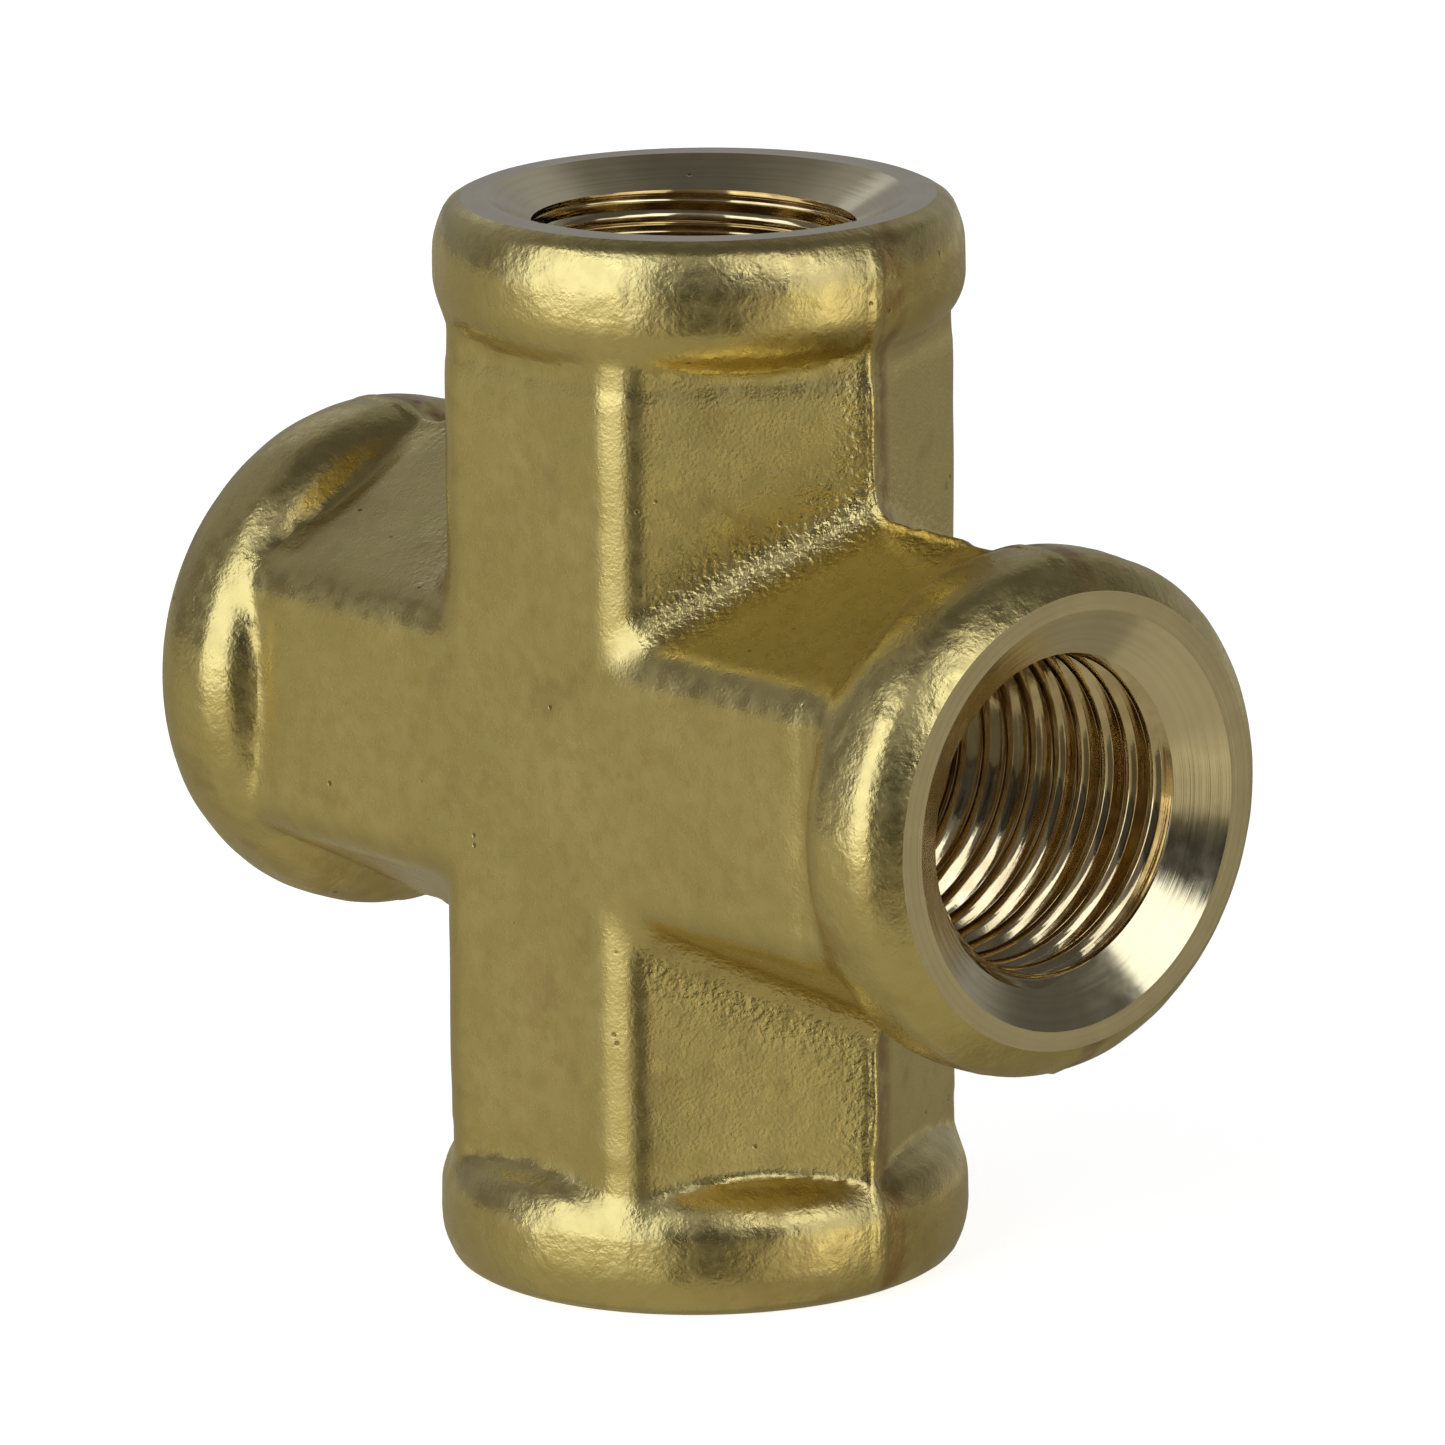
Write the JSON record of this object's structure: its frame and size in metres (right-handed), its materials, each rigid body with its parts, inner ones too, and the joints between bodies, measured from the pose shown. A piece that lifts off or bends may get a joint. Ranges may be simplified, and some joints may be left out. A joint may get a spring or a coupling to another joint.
{
  "type": "cross fitting",
  "caption": "Forged brass pipe cross with six-sided arms, round collars and a female taper pipe thread in every arm.",
  "frame": {"origin": "point where the two bore axes cross, the centre of the fitting", "axes": "+Z out of the top port, +X out of the right port, Y across the forging's two flats"},
  "size_m": [0.03, 0.0148, 0.03],
  "materials": {
    "brass": "satin"
  },
  "bodies": {
    "root": {"cross_body": "brass"}
  },
  "joints": []
}
